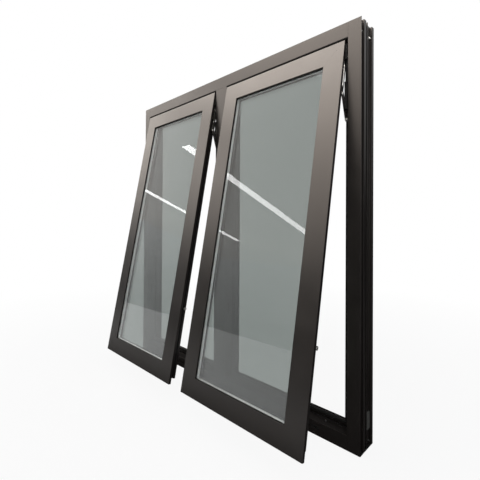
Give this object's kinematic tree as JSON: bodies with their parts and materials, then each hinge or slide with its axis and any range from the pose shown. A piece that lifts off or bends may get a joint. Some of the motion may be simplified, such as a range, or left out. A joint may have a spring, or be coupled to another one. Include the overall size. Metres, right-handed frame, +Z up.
{
  "type": "twin-light awning window",
  "caption": "Dark bronze aluminium awning window with two top-hung double-glazed sashes, hung open on friction stays in a thermally broken frame with a central mullion.",
  "frame": {"origin": "underside of the sill's rear foot at mid-width, where the window stands in its wall opening", "axes": "+X along the sill to the right seen from outdoors, -Y outdoors, +Z up"},
  "size_m": [1.38, 0.3717, 1.5],
  "materials": {
    "powder_coat": "satin dark bronze powder coat on aluminium extrusion",
    "polyamide": "matt black glass-filled polyamide",
    "seal_rubber": "matt black EPDM",
    "glass": "grey-green tinted float glass, polished",
    "spacer": "mill-finish silver",
    "stainless": "brushed stainless",
    "zinc": "black-plated zinc die casting",
    "handle": "satin dark bronze powder coat on die-cast zinc"
  },
  "bodies": {
    "root": {"frame_thermal_break": "polyamide", "head_inner": "powder_coat", "head_outer": "powder_coat", "left_glazing_beads": "powder_coat", "left_glazing_gaskets": "seal_rubber", "left_handle_base": "handle", "left_handle_lever": "handle", "left_inner_pane": "glass", "left_jamb_inner": "powder_coat", "left_jamb_outer": "powder_coat", "left_light_seal": "seal_rubber", "left_outer_pane": "glass", "left_sash_bottom_rail": "powder_coat", "left_sash_left_stile": "powder_coat", "left_sash_right_stile": "powder_coat", "left_sash_thermal_break": "polyamide", "left_sash_top_rail": "powder_coat", "left_spacer": "spacer", "left_stay_arms": "stainless", "left_stay_struts": "stainless", "left_stay_tracks": "stainless", "lock_keepers": "zinc", "lock_rollers": "stainless", "mullion_inner": "powder_coat", "mullion_outer": "powder_coat", "right_glazing_beads": "powder_coat", "right_glazing_gaskets": "seal_rubber", "right_handle_base": "handle", "right_handle_lever": "handle", "right_inner_pane": "glass", "right_jamb_inner": "powder_coat", "right_jamb_outer": "powder_coat", "right_light_seal": "seal_rubber", "right_outer_pane": "glass", "right_sash_bottom_rail": "powder_coat", "right_sash_left_stile": "powder_coat", "right_sash_right_stile": "powder_coat", "right_sash_thermal_break": "polyamide", "right_sash_top_rail": "powder_coat", "right_spacer": "spacer", "right_stay_arms": "stainless", "right_stay_struts": "stainless", "right_stay_tracks": "stainless", "sill_inner": "powder_coat", "sill_outer": "powder_coat"}
  },
  "joints": []
}
